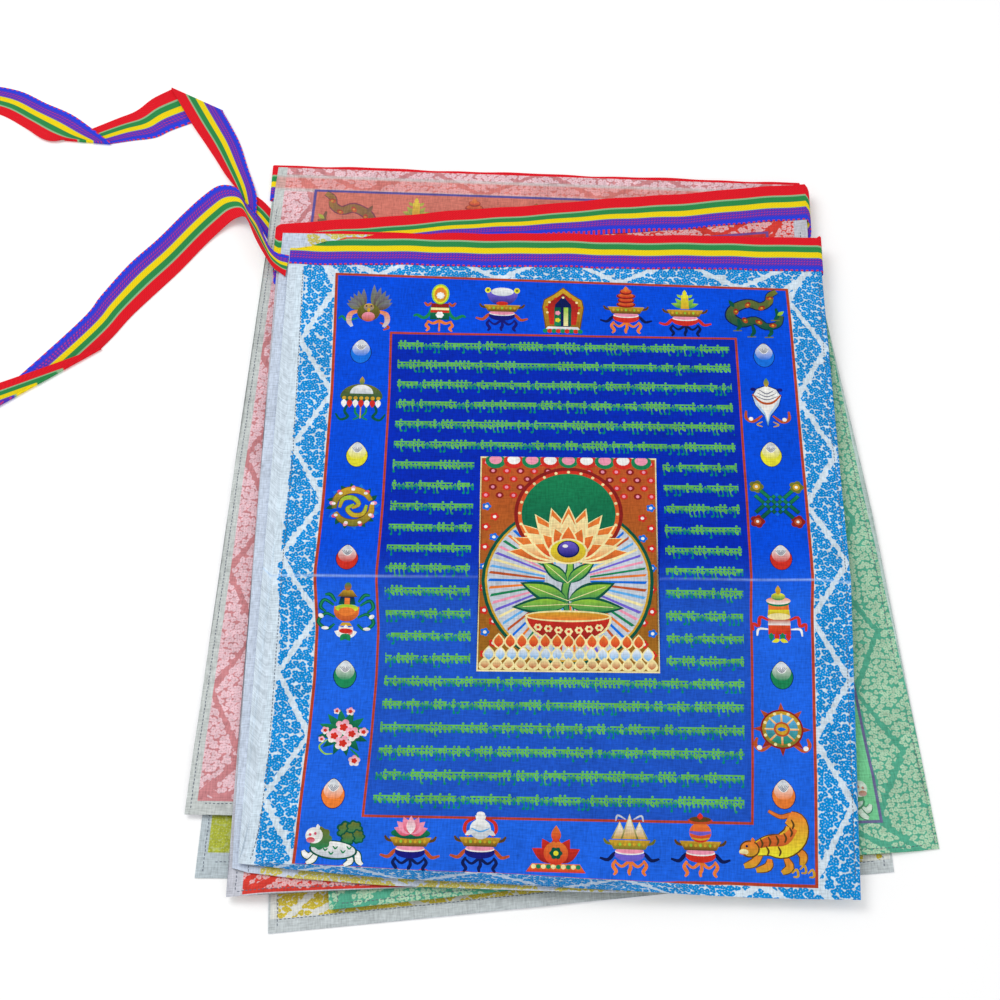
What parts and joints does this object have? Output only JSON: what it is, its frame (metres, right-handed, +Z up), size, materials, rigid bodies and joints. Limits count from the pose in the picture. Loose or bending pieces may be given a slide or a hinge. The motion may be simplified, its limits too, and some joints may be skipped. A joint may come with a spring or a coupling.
{
  "type": "tibetan prayer flag string",
  "caption": "Rectangular printed cloth flags sewn under one long striped woven tape, folded flag on flag into a flat stack with the tape's two tie ends laid out to one side.",
  "frame": {"origin": "middle of the whole part's bounding box, at its base where it lies on a surface", "axes": "+Z up off the surface the stack lies on, +X across the flags towards their right side seen from the viewer, +Y from the flags' lower edges towards their tape"},
  "size_m": [0.582, 0.544, 0.0164],
  "materials": {
    "cloth_blue": "thin printed polyester, dull sheen",
    "cloth_white": "thin printed polyester, dull sheen",
    "cloth_red": "thin printed polyester, dull sheen",
    "cloth_green": "thin printed polyester, dull sheen",
    "cloth_yellow": "thin printed polyester, dull sheen",
    "woven_tape": "twill tape woven in lengthwise stripes, soft sheen"
  },
  "bodies": {
    "root": {"flag_01": "cloth_blue", "flag_02": "cloth_white", "flag_03": "cloth_red", "flag_04": "cloth_green", "flag_05": "cloth_yellow", "flag_06": "cloth_blue", "flag_07": "cloth_white", "flag_08": "cloth_red", "flag_09": "cloth_green", "flag_10": "cloth_yellow", "header_tape": "woven_tape", "tie_upper": "woven_tape", "tie_lower": "woven_tape"}
  },
  "joints": []
}
